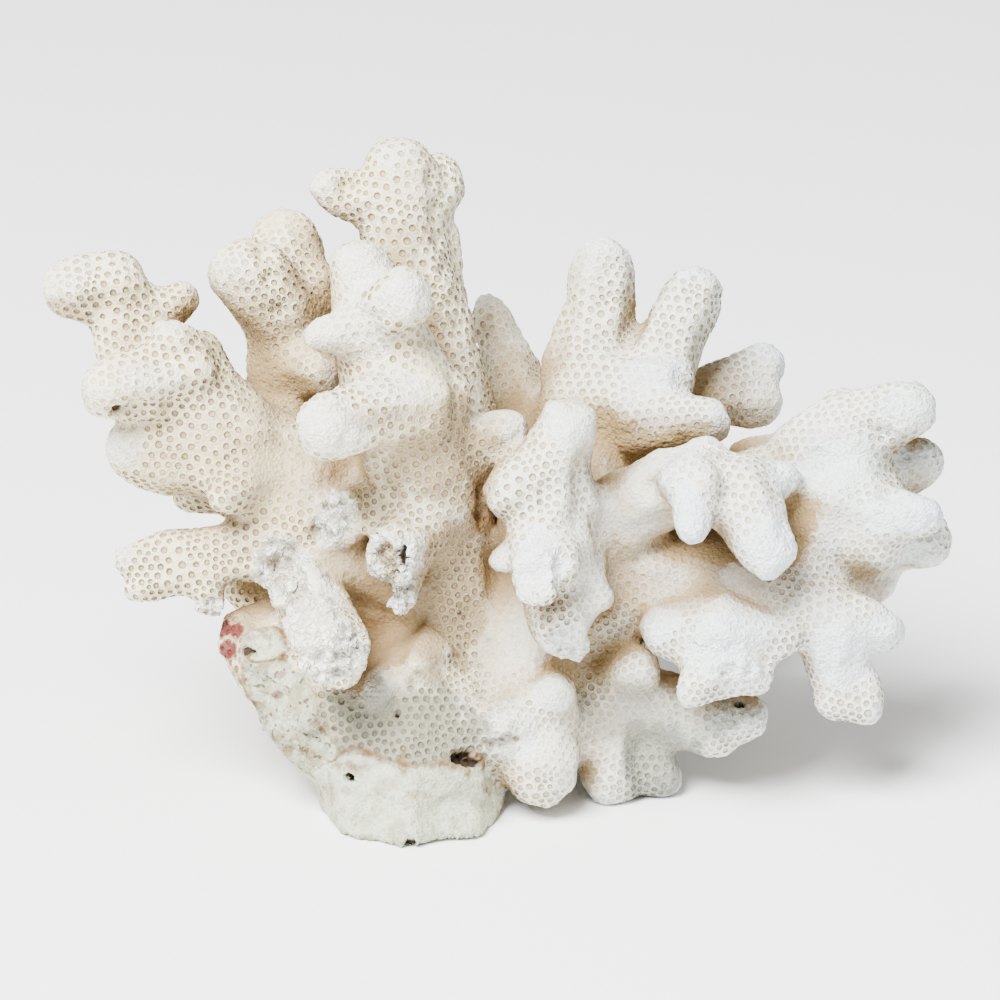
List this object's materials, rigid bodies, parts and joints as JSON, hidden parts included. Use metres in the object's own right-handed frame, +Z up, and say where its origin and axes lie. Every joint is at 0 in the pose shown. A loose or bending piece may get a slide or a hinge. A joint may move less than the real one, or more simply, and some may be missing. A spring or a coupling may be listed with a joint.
{
  "type": "branching coral",
  "caption": "Dry white skeleton of a branching coral colony, blunt knobbly fingers pitted with corallites, standing on a flat cut foot.",
  "frame": {"origin": "middle of the flat cut under the foot, on the surface the colony stands on", "axes": "+Z up, -Y towards the front of the colony, +X to the right seen from the front"},
  "size_m": [0.1416, 0.0837, 0.0971],
  "materials": {
    "white_skeleton": "matt dry coral skeleton, cream white with whiter tips, covered in small round corallites",
    "crusted_foot": "matt skeleton with greenish grey and chalky crusts, a few pink and brown specks"
  },
  "bodies": {
    "root": {"foot": "crusted_foot", "right_trunk": "white_skeleton", "left_limb": "white_skeleton", "front_branch": "white_skeleton", "left_upper_branch": "white_skeleton", "left_lower_branch": "white_skeleton", "paddle_branch": "white_skeleton", "tall_branch": "white_skeleton", "upper_right_branch": "white_skeleton", "lower_right_branch": "white_skeleton", "middle_right_branch": "white_skeleton", "front_right_branch": "white_skeleton", "far_right_branch": "white_skeleton", "low_front_branch": "white_skeleton", "bottom_front_branch": "white_skeleton", "bottom_right_branch": "white_skeleton", "rear_left_branch": "white_skeleton", "rear_upper_branch": "white_skeleton", "rear_centre_branch": "white_skeleton", "rear_right_branch": "white_skeleton", "rear_foot_branch": "white_skeleton"}
  },
  "joints": []
}
